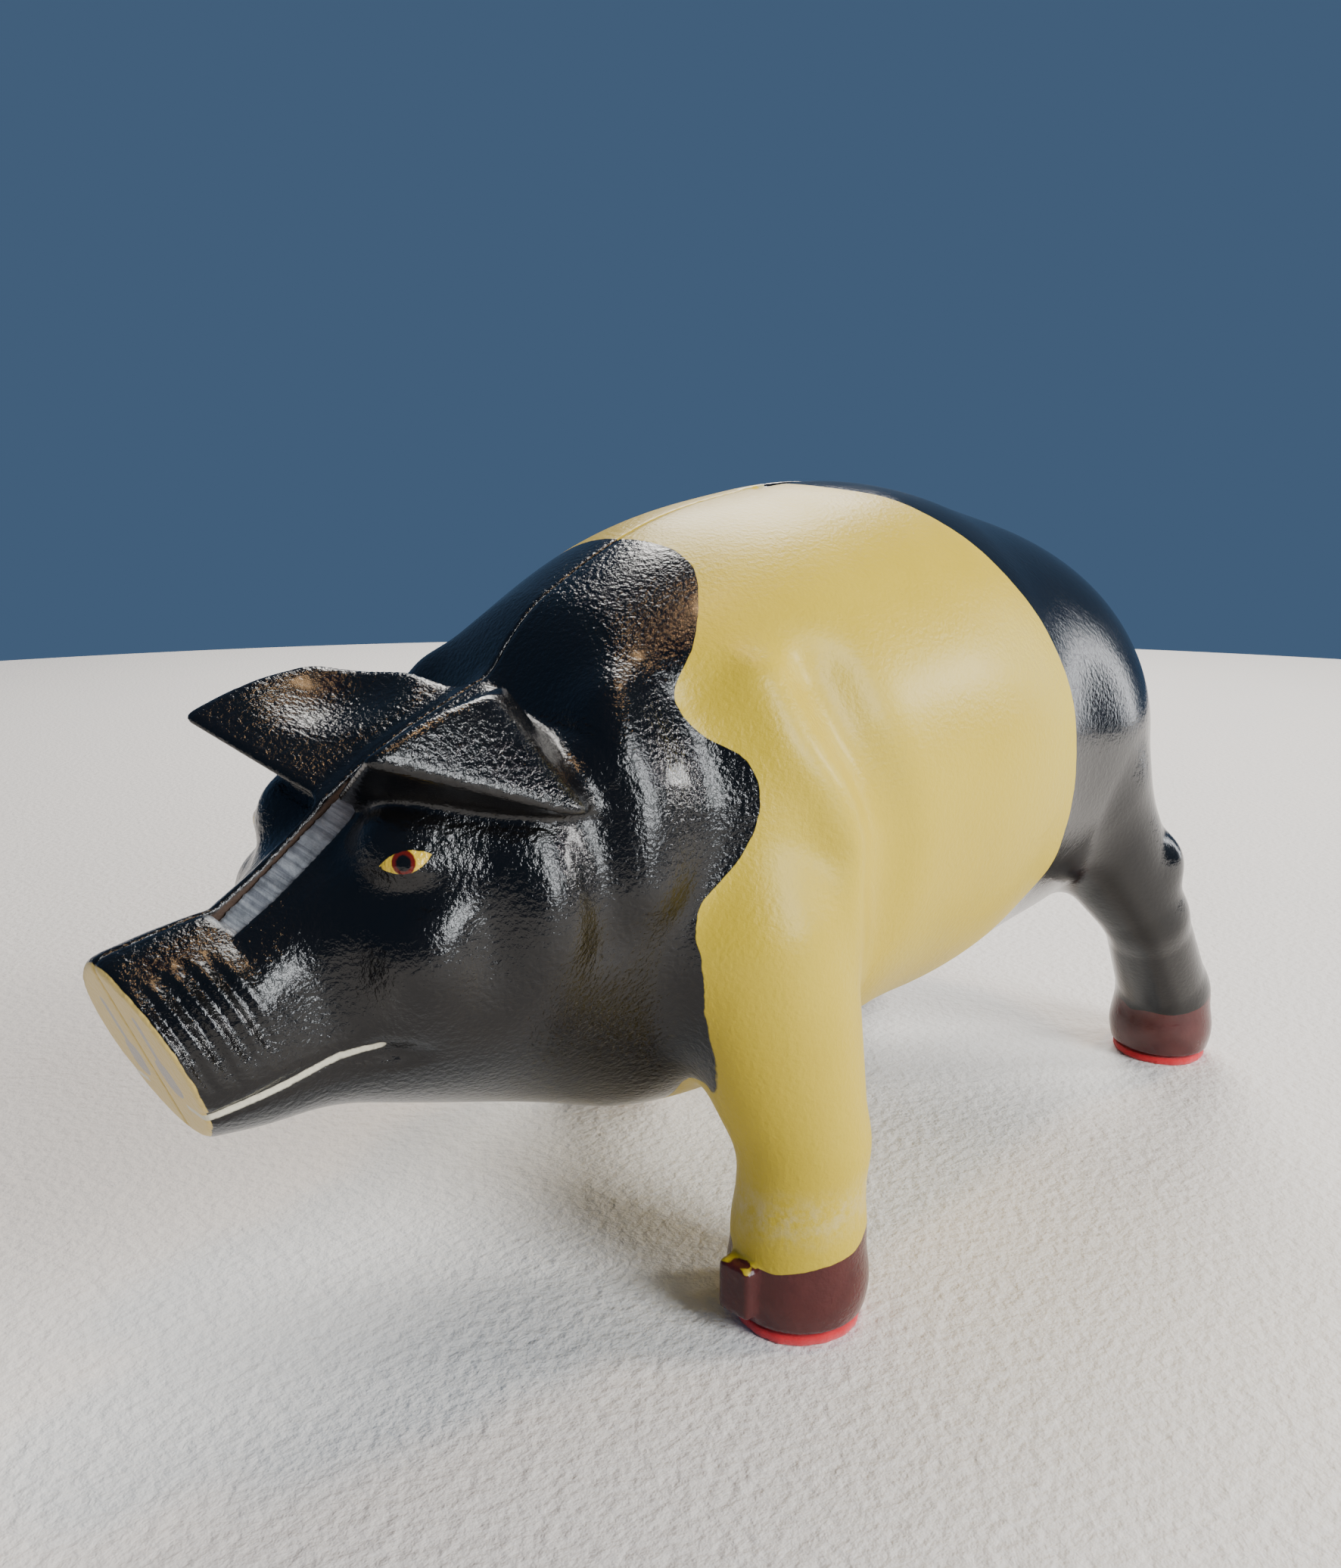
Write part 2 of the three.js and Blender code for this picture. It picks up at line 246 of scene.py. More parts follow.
EAR_TIP = (-108.6, -27.2, 108.3)
EAR_UPPER = ((-94, -26.5, 114.3), (-83, -24.5, 116.4), (-73, -15, 115.2))
EAR_LOWER = ((-92, -30.5, 103.5), (-84, -34.5, 100.5), (-74.5, -38.8, 96))
EAR_ROOT = ((-97.5, 0, 95.6), (-66, 0, 110.8), (-66, -30, 96), (-96.5, -10, 98))
EAR_PLANES = hull_planes((EAR_TIP,) + EAR_UPPER + EAR_LOWER + EAR_ROOT)
EAR_FACE = vec(-0.9017, -0.1002, 0.4208)      # way that the ground face of the tip looks
EAR_GROUND = 2.6                              # taken off the ear's point

WRINKLE_PITCH = 3.3                           # of the folds round the snout

TAIL_TURNS = [math.radians(20 - 40 * i) for i in range(8)]    # the curl of the tail

# Joints of the legs (back, inward, up, radius), from the hoof's middle on the ground.
HOOF = ((0, 0, 8, 12.5), (0, 0, 0, 11.2))
FRONT_LEG = ((-0.9, 12, 68, 19.2), (0.9, 0, 33, 11.6), (0, 0, 17, 11.8)) + HOOF
HIND_LEG = ((-36, 11, 74, 17), (-18, -1, 42, 10.2), (0, 0, 17, 11.5)) + HOOF


def behind_snout(p):
    """Distance behind the snout's flat face."""
    return -((p - SNOUT) @ SNOUT_NORMAL)


def above_line(p, start, up, lean):
    """Distance above a plane through a line of the crest, that leans to the left."""
    return (p - start) @ (up * math.cos(lean) - vec(0, math.sin(lean), 0))


def roof(p):
    """Distance above the flat top of the head on both sides of its crest."""
    height = np.maximum(
        above_line(p, CREST_START, CREST_UP, ROOF_LEAN),
        above_line(p, BROW_START, BROW_UP, ROOF_LEAN),
    )
    behind_head = np.maximum(p[..., 0] + 66, 0)
    on_snout = np.maximum(-116 - p[..., 0], 0)
    return height + ROOF_DROP - behind_head * 0.8 - on_snout


def trunk(p):
    """Body, neck and head."""
    depth = ellipsoid(p, (24.4, 0, 89.2), (85.2, 53.8, 57.8))
    depth = join(depth, ellipsoid(p, (-20, 0, 81.8), (41, 44, 49)), 20)
    depth = join(depth, ellipsoid(p, (81.5, 0, 87), (44, 49.3, 46)), 20)
    depth = join(depth, bar(p, (-25, 0, 79.8), (-69, 0, 84.8), 38.7, 32.3), 22)
    depth = join(depth, bar(p, (-70, 0, 88), (-118, 0, 66.8), 16, 13), 12)
    depth = join(depth, ellipsoid(p, (-76.4, -11.5, 74.4), (25, 20, 19.2)), 14)
    depth = join(depth, bar(p, (-116, 0, 67.5), (-130, 0, 65), 13.2, 14.4), 8)
    depth = both(depth, roof(p), 4)
    depth = join(depth, ellipsoid(p, (-87.4, -15.3, 92.3), (12, 8, 8)), 7)
    return join(depth, bar(p, (-105, 0, 64), (-42, 0, 59.5), 12, 29), 16)


def tail(p):
    """Curl of the tail in low relief on the rump."""
    curl = [(0, 5 * math.cos(turn) - 3.8, 98 + 5.5 * math.sin(turn)) for turn in TAIL_TURNS]
    return welt(p * vec(0, 1, 1), [(0, 0, 112), (0, 1, 106)] + curl, 1.9, 2.4)


def crest(p):
    """Roof-like ridge of the face."""
    depth = np.full(p.shape[:-1], np.inf, np.float32)
    for (x1, z1, r1), (x2, z2, r2) in zip(CREST[:-1], CREST[1:]):
        depth = np.minimum(depth, bar(p, (x1, 0, z1), (x2, 0, z2), r1, r2))
    return depth


def body_relief(p):
    """Folds and muscles of the body."""
    valley = [(-26, -42, 112), (-24, -46, 103), (-20, -50, 95), (-17.5, -53, 86), (-17, -54, 66)]
    arm = [(-37, -38, 113), (-36, -43, 104), (-31, -48, 95), (-28.6, -51, 86), (-29, -53, 66)]
    depth = welt(p, valley, 6.5, -3.4)
    depth += welt(p, arm, 5.5, 2.4)
    depth += welt(p, [(-62, -26, 112), (-62, -34, 98), (-63, -37, 84)], 7, 2.6)
    depth += welt(p, [(-50, -34, 110), (-50, -42, 95), (-52, -42, 79)], 6, -1.6)
    return depth + welt(p, [(-71, -34, 97), (-71, -36, 88), (-70, -37, 76)], 4.5, -1.5)


def face_relief(p):
    """Eye, brow, cheeks, mouth and the wrinkles of the snout."""
    lid = [(-101.5, -19.5, 92.3), (-97.8, -22.5, 94.2), (-92.5, -26, 94), (-87.5, -29, 91.5)]
    mouth = [(-101, -19.5, 63.4), (-106.4, -17, 62.8), (-113.9, -15, 60.6), (-125, -11.8, 58.2)]
    depth = swell(p, (-97.6, -22.6, 90.8), (4.2, 3.5, 2.6), 0.9)
    depth += welt(p, lid, 1.5, -1.4)
    depth += swell(p, (-98, -23, 85.5), (7, 6, 3), -1.0)
    depth += swell(p, (-97, -25, 77), (6.5, 6, 8), 2.6)
    depth += swell(p, (-88, -31, 78), (4.5, 6, 10), -2.0)
    depth += swell(p, (-79, -34, 83), (6.5, 6, 12), 2.0)
    depth += swell(p, (-110, -18, 72), (8, 6, 10), -2.6)
    depth += welt(p, mouth, 1.1, -0.9)
    depth += swell(p, (-99.5, -20.3, 61.6), (4.5, 4, 1.8), -1.5)
    behind = behind_snout(p)
    height = (p - SNOUT) @ SNOUT_UP
    band = np.clip((behind - 0.8) / 1.5, 0, 1) * np.clip((14.6 - behind) / 3, 0, 1)
    band = band * np.exp(-((height - 5) / 8.5) ** 4) * np.clip((-p[..., 1] - 6) / 4, 0, 1)
    return depth + band * (0.5 - 0.5 * np.cos((behind - 0.4) * (2 * math.pi / WRINKLE_PITCH)))


def ear(p):
    """Hood of the left ear, hollowed on top, with a thick rim."""
    depth = hull(p, EAR_PLANES, 2.0)
    depth = cut(depth, ellipsoid(p, (-92, -9, 132.8), (27, 21.5, 27)), 2)
    return both(depth, ear_tip(p), 0.3)


def ear_tip(p):
    """Distance in front of the ground face of the ear's tip."""
    return (p - vec(*EAR_TIP)) @ EAR_FACE + EAR_GROUND


def leg(p, place):
    """One leg with its hoof, a hind leg's hock, and the stub on the front left hoof."""
    joints = FRONT_LEG if place.startswith("front") else HIND_LEG
    x, y = FEET[place]
    side = math.copysign(1, y)
    spots = [((x + back, y - side * inward, up), radius) for back, inward, up, radius in joints]
    depth = None
    for (start, r1), (end, r2) in zip(spots[:-1], spots[1:]):
        bone = bar(p, start, end, r1, r2)
        depth = bone if depth is None else join(depth, bone, 2)
    if place.startswith("hind"):
        depth = join(depth, ellipsoid(p, (x - 19.5, y + side * 3, 57), (6, 6, 6)), 6)
    if place == "front_left":
        depth = join(depth, block(p, (x - 13.8, y, 5.5), (x - 8, y + 5, 13)) - 1.2, 1.5)
    return depth


def near(p, low, high):
    """Which points lie in a box."""
    return ((p > vec(*low)) & (p < vec(*high))).all(-1)


def ground_away(p):
    """What a grinder took off along the left of the face's crest."""
    above = above_line(p, CREST_START, CREST_UP, GROUND_LEAN) + GROUND_DEPTH
    along = (p - CREST_START) @ vec(*CREST_WAY)
    ends = np.maximum(GROUND_LENGTH[0] - along, along - GROUND_LENGTH[1])
    across = to_bar(p, (-134.3, 0, 68.9), (-77.7, 0, 110))[0] - 5.2
    return np.maximum(np.maximum(-above, ends * 0.3), across)


def body(p):
    """Trunk with its folds. p is on the left side."""
    depth = trunk(p)
    fold = near(p, (-85, -75, 45), (15, 0, 135))
    depth[fold] += body_relief(p[fold])
    return depth


def hollow(p):
    """Field of the coin chamber. p is on the left side."""
    return both(body(p) + WALL, 24 - behind_snout(p), 1.5)


def skin(p, side):
    """Field of the outside of one half. p is in the pig's frame."""
    left = p * vec(1, -side, 1)
    depth = join(body(left), crest(left), 6)
    head = near(left, (-140, -60, 40), (-50, 5, 130))
    face = left[head]
    rear = near(p, (100, -20, 80), (140, 20, 125))
    depth[rear] += tail(p[rear])
    depth[head] = join(depth[head] + face_relief(face), ear(face), 2.5)
    if side < 0:
        depth[head] = cut(depth[head], ground_away(face), 0.5)
    for place in PLACES:
        if FEET[place][1] * side > 0:
            depth = join(depth, leg(p, place), 6)
    depth = both(depth, -behind_snout(left), 1.2)
    depth = both(depth, HOOF_BOTTOM - p[..., 2], 0.8)
    return depth + SKIN_INSET


def lug_level(x, up):
    """Level that a lug is set out from: the coin chamber's ceiling for the upper one."""
    column = np.array([(x, -1, LOW_LUG_LEVEL + 0.25 * i) for i in range(400)], np.float32)
    heights = column[hollow(column) < 0][:, 2]
    return float(heights.max() if up > 0 else heights.min())


LUGS = [(x, up, lug_level(x, up)) for x, up in ((16, -1), (48, -1), (44, 1))]


def lug(p, x, up, level):
    """Tongue in the left casting that reaches over the seam. The lower two clear the floor."""
    front, back = x - LUG_HALF_LENGTH, x + LUG_HALF_LENGTH
    low, high = sorted((level + up * 2, level - up * 5))
    foot = block(p, (front, -LUG_ROOT, low), (back, -1, high))
    low, high = sorted((level - up * 2, level - up * 5))
    return np.minimum(foot, block(p, (front, -LUG_ROOT, low), (back, LUG_REACH, high)))


def casting(p, side):
    """Field of one half of the casting."""
    outside = skin(p, side)
    depth = cut(outside, hollow(p * vec(1, -side, 1)), 0.8)
    if side < 0:
        post = drum(p, POST_RADIUS, BORE_END - 2, POST_END)
        depth = join(depth, np.maximum(post, outside), 1.5)
        depth = cut(depth, drum(p, SHANK_RADIUS + 0.25, BORE_END, POST_END + 9), 0.4)
    else:
        seat = drum(p, SEAT_RADIUS, SKIN_AT_SCREW - SEAT_DEPTH, SKIN_AT_SCREW - 2)
        depth = join(depth, np.maximum(seat, outside), 1.5)
        depth = cut(depth, drum(p, HEAD_RADIUS + 0.4, HEAD_SEAT - 0.3, SKIN_AT_SCREW + 9), 0.5)
        depth = cut(depth, drum(p, SHANK_RADIUS + 0.4, 0, SKIN_AT_SCREW), 0.4)
    half = (SLOT_LENGTH / 2, SLOT_WIDTH / 2)
    slot = block(p, (SLOT_X - half[0], -half[1], 120), (SLOT_X + half[0], half[1], 170))
    depth = cut(depth, slot, 0.7)
    depth = both(depth, HALF_GAP - side * p[..., 1], 0.35)
    if side < 0:
        zone = near(p, (8, -10, 20), (56, 6, 150))
        for x, up, level in LUGS:
            depth[zone] = np.minimum(depth[zone], lug(p[zone], x, up, level))
    return depth


# ---- Meshing -------------------------------------------------------------------------

TILE = 8                                      # grid steps along the side of one tile
STEEPEST = 1.6                                # room for fields that grow faster than distance


def evaluate(field, points):
    """A field on many points, in slices on all cores."""
    slices = [points[i:i + 60000] for i in range(0, len(points), 60000)]
    with ThreadPoolExecutor(4) as pool:
        return np.concatenate(list(pool.map(field, slices)))


def mesh_field(field, low, high, voxel):
    """Points and faces of a field's zero surface within a box.

    The field is taken once in the middle of each tile, and at every grid point only of the
    tiles that the surface may go through.
    """
    low = np.array(low, np.float32)
    counts = np.ceil((np.array(high) - low) / (voxel * TILE)).astype(int)
    tiles = np.stack(np.meshgrid(*[np.arange(n) for n in counts], indexing="ij"), -1).reshape(-1, 3)
    rough = evaluate(field, (low + (tiles * TILE + (TILE - 1) / 2) * voxel).astype(np.float32))
    reach = voxel * TILE * 0.87 * STEEPEST + 2 * voxel
    offsets = np.stack(np.meshgrid(*[np.arange(TILE)] * 3, indexing="ij"), -1).reshape(-1, 3)
    limit = 3 * voxel
    values = np.empty(counts * TILE, np.float32)
    tiled = values.reshape(counts[0], TILE, counts[1], TILE, counts[2], TILE)
    tiled = tiled.transpose(0, 2, 4, 1, 3, 5)
    tiled[...] = np.clip(rough, -limit, limit).reshape(tuple(counts) + (1, 1, 1))
    active = tiles[np.abs(rough) < reach]
    spots = (low + (active[:, None] * TILE + offsets[None]) * voxel).astype(np.float32)
    fine = np.clip(evaluate(field, spots.reshape(-1, 3)), -limit, limit)
    tiled[active[:, 0], active[:, 1], active[:, 2]] = fine.reshape(-1, TILE, TILE, TILE)
    grid = openvdb.FloatGrid(limit)
    grid.copyFromArray(values)
    points, triangles, quads = grid.convertToPolygons(isovalue=0, adaptivity=0)
    points = settle(field, (points * voxel + low).astype(np.float32), voxel)
    faces = [face[::-1] for face in triangles.tolist()] + [face[::-1] for face in quads.tolist()]
    return points, faces


def settle(field, points, voxel):
    """Points moved onto the zero surface."""
    gradient = np.empty_like(points)
    for axis in range(3):
        step = np.zeros(3, np.float32)
        step[axis] = 0.2 * voxel
        ahead = evaluate(field, points + step)
        gradient[:, axis] = (ahead - evaluate(field, points - step)) / (0.4 * voxel)
    steepness = np.maximum((gradient ** 2).sum(-1), 0.1)
    start = points.copy()
    for _ in range(3):
        points = points - (evaluate(field, points) / steepness)[:, None] * gradient
        move = points - start
        length = np.sqrt((move ** 2).sum(-1))[:, None] + 1e-9
        points = start + move * np.minimum(1, 0.6 * voxel / length)
    return points


def new_piece(name, points, faces):
    """Smooth object from points in millimetres in the pig's frame."""
    mesh = bpy.data.meshes.new(name)
    mesh.from_pydata(((points + vec(SHIFT, 0, 0)) * MM).tolist(), [], faces)
    mesh.validate()
    mesh.shade_smooth()
    made = bpy.data.objects.new(name, mesh)
    bpy.context.scene.collection.objects.link(made)
    return made


def store(piece, name, values):
    """A number for each vertex, for the materials."""
    layer = piece.data.attributes.new(name, "FLOAT", "POINT")
    layer.data.foreach_set("value", np.ascontiguousarray(values, np.float32))


# ---- Where the enamel goes -----------------------------------------------------------
# Edges of the cream saddle as X against the angle round the body, from 0 on the back.

SADDLE_FRONT = (
    (0, -34), (11, -33.4), (17.3, -33.2), (25.5, -34.6), (33.6, -38.5), (43.4, -44), (53, -50.2),
    (60, -50.2), (66.8, -47.8), (72, -44.6), (78, -43.2), (84.4, -43.5), (92.5, -46.2),
    (98.2, -49.5), (104.2, -53.4), (109.5, -54.7), (117.6, -54.4), (126.2, -53), (134.3, -50.5),
    (142, -48), (160, -42), (180, -38),
)
SADDLE_REAR = (
    (0, 9), (12.9, 15), (19.1, 23), (28, 28.8), (37.5, 34), (46.8, 38), (55.1, 42), (65.5, 45.4),
    (75.6, 47.5), (86.7, 47.7), (97.1, 48.5), (106.9, 49.2), (118.3, 49.7), (125.5, 44.6),
    (140, 40), (180, 38),
)


def smooth_curve(knots, at):
    """Cubic curve through knots."""
    x = np.array([knot[0] for knot in knots], float)
    y = np.array([knot[1] for knot in knots], float)
    slopes = np.gradient(y, x)
    i = np.clip(np.searchsorted(x, at, side="right") - 1, 0, len(x) - 2)
    width = x[i + 1] - x[i]
    t = np.clip((at - x[i]) / width, 0, 1)
    start = (1 + 2 * t) * (1 - t) ** 2 * y[i] + t * (1 - t) ** 2 * width * slopes[i]
    end = t * t * (3 - 2 * t) * y[i + 1] + t * t * (t - 1) * width * slopes[i + 1]
    return start + end


def to_line(p, points):
    """Distance to a line of points."""
    pieces = zip(points[:-1], points[1:])
    return np.min([to_bar(p, start, end)[0] for start, end in pieces], axis=0)


def face_marks(left):
    """What is painted on the head: the snout's disc and nostrils, the eye and the mouth."""
    x, y, z = left.T
    behind = behind_snout(left)
    flat = np.stack([np.abs(y), (left - SNOUT) @ SNOUT_UP, y * 0], -1)
    drop = to_bar(flat, (5.4, -4.6, 0), (5.0, -2.4, 0))[0] - 2.3
    stroke = to_bar(flat, (5.2, -3, 0), (5.4, 7.2, 0))[0] - 0.75
    along = (left - vec(-97.6, -22.4, 91.1)) @ vec(0.76, -0.6, 0.22)
    up = z - 91.1 - 0.22 * along
    almond = 1.5 * (1 - (along / 4.0) ** 2) - np.abs(up)
    almond[(x < -110) | (x > -85) | (y > -12)] = -9
    mouth = [(-100.5, 0, 63.2), (-106.4, 0, 62.4), (-113.9, 0, 60.2), (-125.5, 0, 57.6)]
    line = 0.5 - to_line(left * vec(1, 0, 1), mouth)
    line[y > -6] = -9
    return {
        "disc": 0.7 - behind,
        "nostril": np.minimum(-np.minimum(drop, stroke), 1.2 - behind),
        "eye": almond,
        "iris": 1.75 - np.hypot(along + 0.2, up),
        "mouth": line,
    }


def paint_casting(piece, points, side):
    """Signed distances, in millimetres, from the edges of each colour. Positive is inside.

    Dust is a share that fades out over 5 mm instead. Bare is where there is no enamel.
    """
    left = points * vec(1, -side, 1)
    x, y, z = left.T
    angle = np.degrees(np.arctan2(np.abs(y), z - 89))
    front = (x - smooth_curve(SADDLE_FRONT, angle)) * 0.85
    rear = (smooth_curve(SADDLE_REAR, angle) - x) * 0.85
    ahead = x + 46.5 + np.clip(42 - z, 0, 9)
    forelegs = np.minimum(np.minimum(50 - z, np.abs(y) - 31), np.minimum(40 - x, ahead))
    store(piece, "cream", np.maximum(np.minimum(front, rear), forelegs))
    ground = np.where(np.abs(left - vec(*EAR_TIP)).max(-1) < 6, 0.25 - np.abs(ear_tip(left)), -9)
    if side < 0:
        ground = np.maximum(ground, 0.35 - ground_away(left))
    store(piece, "ground", ground)
    hoof = -z
    for foot_x in [foot_x for foot_x, foot_y in FEET.values() if foot_y * side > 0]:
        edge = 16.8 + 0.22 * (x - foot_x) + 0.4 * np.sin(0.5 * x + 0.7 * y)
        hoof = np.where(np.abs(x - foot_x) < 22, edge - z, hoof)
    store(piece, "hoof", hoof)
    store(piece, "dust", np.where(forelegs > -2, 1 - np.abs(z - 29 - 0.12 * x) / 5, -9))
    store(piece, "worn", 5 - to_line(points, [(SLOT_X - 12, 2, 146), (SLOT_X + 12, -1, 146)]))
    for mark, values in face_marks(left).items():
        store(piece, mark, values)
    deep = -evaluate(lambda p: skin(p, side), points)
    inside = np.minimum(0.6 - evaluate(hollow, left), deep - 1.5)
    joint = np.minimum(0.3 + HALF_GAP + y, deep - 0.7)
    store(piece, "bare", np.maximum(inside, joint))


# ---- Materials -----------------------------------------------------------------------

class Nodes:
    """Short way to write a material's nodes."""

    def __init__(self, name):
        self.material = bpy.data.materials.new(name)
        self.material.use_nodes = True
        self.tree = self.material.node_tree
        self.shader = self.tree.nodes["Principled BSDF"]

    def put(self, target, value):
        if isinstance(value, bpy.types.NodeSocket):
            self.tree.links.new(value, target)
        else:
            target.default_value = value

    def add(self, kind, inputs=None, output=0, **settings):
        node = self.tree.nodes.new(kind)
        for key, value in settings.items():
            setattr(node, key, value)
        for key, value in (inputs or {}).items():
            self.put(node.inputs[key], value)
        return node.outputs[output]

    def maths(self, operation, a, b=0.0, c=0.0):
        return self.add("ShaderNodeMath", {0: a, 1: b, 2: c}, operation=operation)

    def field(self, name):
        return self.add("ShaderNodeAttribute", output="Fac", attribute_name=name)

    def place(self):
        return self.add("ShaderNodeTexCoord", output="Object")

    def noise(self, size, detail=2.0, roughness=0.5, distortion=0.0):
        """Noise whose grains are about size millimetres across."""
        inputs = {"Vector": self.place(), "Scale": 1000 / size, "Detail": detail,
                  "Roughness": roughness, "Distortion": distortion}
        return self.add("ShaderNodeTexNoise", inputs)

    def strokes(self, way, apart, length):
        """Noise drawn out into strokes that lie side by side along way."""
        inputs = {0: self.place(), 1: way}
        along = self.add("ShaderNodeVectorMath", inputs, "Value", operation="DOT_PRODUCT")
        share = self.maths("MULTIPLY", along, 1000 / apart - 1000 / length)
        packed = self.add("ShaderNodeVectorMath", {0: way, 3: share}, operation="SCALE")
        inputs = {0: self.place(), 3: 1000 / length}
        loose = self.add("ShaderNodeVectorMath", inputs, operation="SCALE")
        spot = self.add("ShaderNodeVectorMath", {0: packed, 1: loose}, operation="ADD")
        return self.add("ShaderNodeTexNoise", {"Vector": spot, "Scale": 1.0, "Detail": 2.0})

    def band(self, value, low, high, to_low=0.0, to_high=1.0):
        inputs = {"Value": value, "From Min": low, "From Max": high,
                  "To Min": to_low, "To Max": to_high}
        return self.add("ShaderNodeMapRange", inputs)

    def mix(self, share, a, b):
        return self.add("ShaderNodeMix", {0: share, 6: a, 7: b}, output=2, data_type="RGBA")

    def blend(self, share, a, b):
        return self.add("ShaderNodeMix", {0: share, 2: a, 3: b}, data_type="FLOAT")

    def bump(self, height, distance, strength, below=None):
        inputs = {"Height": height, "Distance": distance * MM, "Strength": strength}
        if below is not None:
            inputs["Normal"] = below
        return self.add("ShaderNodeBump", inputs)

    def surface(self, **sockets):
        for key, value in sockets.items():
            self.put(self.shader.inputs[key.replace("_", " ")], value)


def enamel():
    """Cream, black and maroon enamel on a sand casting, and the bare iron inside."""
    n = Nodes("painted_iron")
    wobble = n.maths("MULTIPLY_ADD", n.noise(3.0, 3), 0.5, -0.25)
    fine_wobble = n.maths("MULTIPLY_ADD", n.noise(1.0, 2), 0.3, -0.15)

    def mask(name, edge=0.06, shake=wobble):
        return n.band(n.maths("ADD", n.field(name), shake), -edge, edge)

    speck = n.band(n.noise(0.9, 4, 0.7), 0.6, 0.72)
    cloud = n.noise(22, 3, 0.6)
    cream = n.mix(cloud, (0.52, 0.37, 0.018, 1), (0.62, 0.455, 0.035, 1))
    cream = n.mix(n.maths("MULTIPLY", speck, 0.4), cream, (0.46, 0.32, 0.03, 1))
    dust = n.band(n.maths("ADD", n.field("dust"), wobble), -0.2, 1.4, 0, 0.6)
    grit = n.band(n.noise(2.5, 5, 0.8), 0.4, 0.62)
    cream = n.mix(n.maths("MULTIPLY", dust, grit), cream, (0.62, 0.53, 0.36, 1))
    scuff = n.band(n.noise(3, 5, 0.75), 0.45, 0.55)
    worn = n.maths("MULTIPLY", n.band(n.field("worn"), -2, 4), scuff)
    cream = n.mix(worn, cream, (0.52, 0.48, 0.25, 1))
    black = n.mix(cloud, (0.002, 0.002, 0.0023, 1), (0.005, 0.0045, 0.0045, 1))
    maroon = n.mix(n.noise(4, 3), (0.045, 0.008, 0.008, 1), (0.10, 0.022, 0.02, 1))
    colour = n.mix(mask("cream"), black, cream)
    colour = n.mix(mask("hoof"), colour, maroon)
    disc_cream = n.mix(cloud, (0.62, 0.43, 0.10, 1), (0.70, 0.52, 0.15, 1))
    colour = n.mix(mask("disc"), colour, disc_cream)
    colour = n.mix(mask("nostril", 0.1, fine_wobble), colour, (0.36, 0.32, 0.28, 1))
    colour = n.mix(mask("mouth", 0.12, fine_wobble), colour, (0.62, 0.58, 0.44, 1))
    eye = mask("eye", 0.06, fine_wobble)
    iris = n.band(n.field("iris"), -0.1, 0.1)
    pupil = n.band(n.field("iris"), 0.5, 0.75)
    eye_colour = n.mix(iris, (0.75, 0.5, 0.04, 1), (0.12, 0.008, 0.004, 1))
    eye_colour = n.mix(pupil, eye_colour, (0.004, 0.004, 0.004, 1))
    colour = n.mix(eye, colour, eye_colour)
    ground = n.band(n.maths("ADD", n.field("ground"), wobble), -0.2, 0.2)
    strokes = n.strokes(CREST_WAY, 0.7, 14)
    streaks = n.band(strokes, 0.38, 0.6)
    grey = n.mix(streaks, (0.16, 0.175, 0.2, 1), (0.33, 0.36, 0.39, 1))
    colour = n.mix(ground, colour, grey)
    bare = n.band(n.field("bare"), -0.2, 0.2)
    iron = n.mix(n.noise(6, 4, 0.6), (0.03, 0.024, 0.02, 1), (0.11, 0.055, 0.03, 1))
    colour = n.mix(bare, colour, iron)

    black_rough = n.band(cloud, 0.3, 0.7, 0.1, 0.18)
    cream_rough = n.band(cloud, 0.3, 0.7, 0.36, 0.46)
    rough = n.blend(mask("cream"), black_rough, cream_rough)
    rough = n.blend(mask("hoof"), rough, 0.2)
    rough = n.blend(mask("disc"), rough, 0.42)
    rough = n.blend(ground, rough, 0.45)
    rough = n.blend(bare, rough, 0.8)

    peel = n.noise(1.0, 3, 0.55)
    swell_bump = n.bump(n.noise(8, 2), 0.4, 0.2)
    head = n.band(n.add("ShaderNodeSeparateXYZ", {0: n.place()}), -0.02, -0.05, 0.3, 1.0)
    scratches = n.bump(strokes, 0.3, n.maths("MULTIPLY", ground, 0.5), swell_bump)
    strength = n.blend(n.maths("MAXIMUM", mask("cream"), ground), head, 0.6)
    normal = n.bump(peel, 0.3, strength, scratches)
    n.surface(
        Base_Color=colour, Roughness=rough, Normal=normal,
        Specular_IOR_Level=n.blend(mask("cream"), 0.42, 0.28),
        Coat_Weight=n.blend(ground, 0.12, 0.0),
        Coat_Roughness=n.blend(mask("cream"), 0.12, 0.26),
    )
    return n.material


def steel():
    """Dull steel of the screw."""
    n = Nodes("screw_steel")
    tone = n.noise(2, 4, 0.6)
    n.surface(
        Base_Color=n.mix(tone, (0.28, 0.25, 0.22, 1), (0.5, 0.48, 0.45, 1)),
        Roughness=n.band(tone, 0.3, 0.7, 0.3, 0.55),
        Normal=n.bump(n.noise(0.4, 3), 0.03, 0.4),
        Metallic=1.0,
    )
    return n.material


def felt():
    """Pressed red felt."""
    n = Nodes("red_felt")
    fibre = n.noise(0.5, 5, 0.7, 1.5)
    n.surface(
        Base_Color=n.mix(fibre, (0.5, 0.004, 0.01, 1), (0.85, 0.02, 0.03, 1)),
        Normal=n.bump(fibre, 0.3, 0.8),
        Roughness=0.95,
        Sheen_Weight=0.4,
    )
    return n.material


def floor_paint():
    """Pale matt floor with a fine grain."""
    n = Nodes("floor")
    n.surface(
        Base_Color=n.mix(n.noise(60, 2), (0.80, 0.775, 0.735, 1), (0.84, 0.80, 0.75, 1)),
        Normal=n.bump(n.noise(2.6, 3, 0.55), 1.0, 0.8),
        Roughness=0.75,
    )
    return n.material


# ---- Pieces --------------------------------------------------------------------------

def finish_piece(piece, material, body, node):
    piece.data.materials.append(material)
    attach(piece, body)
    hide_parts(node)


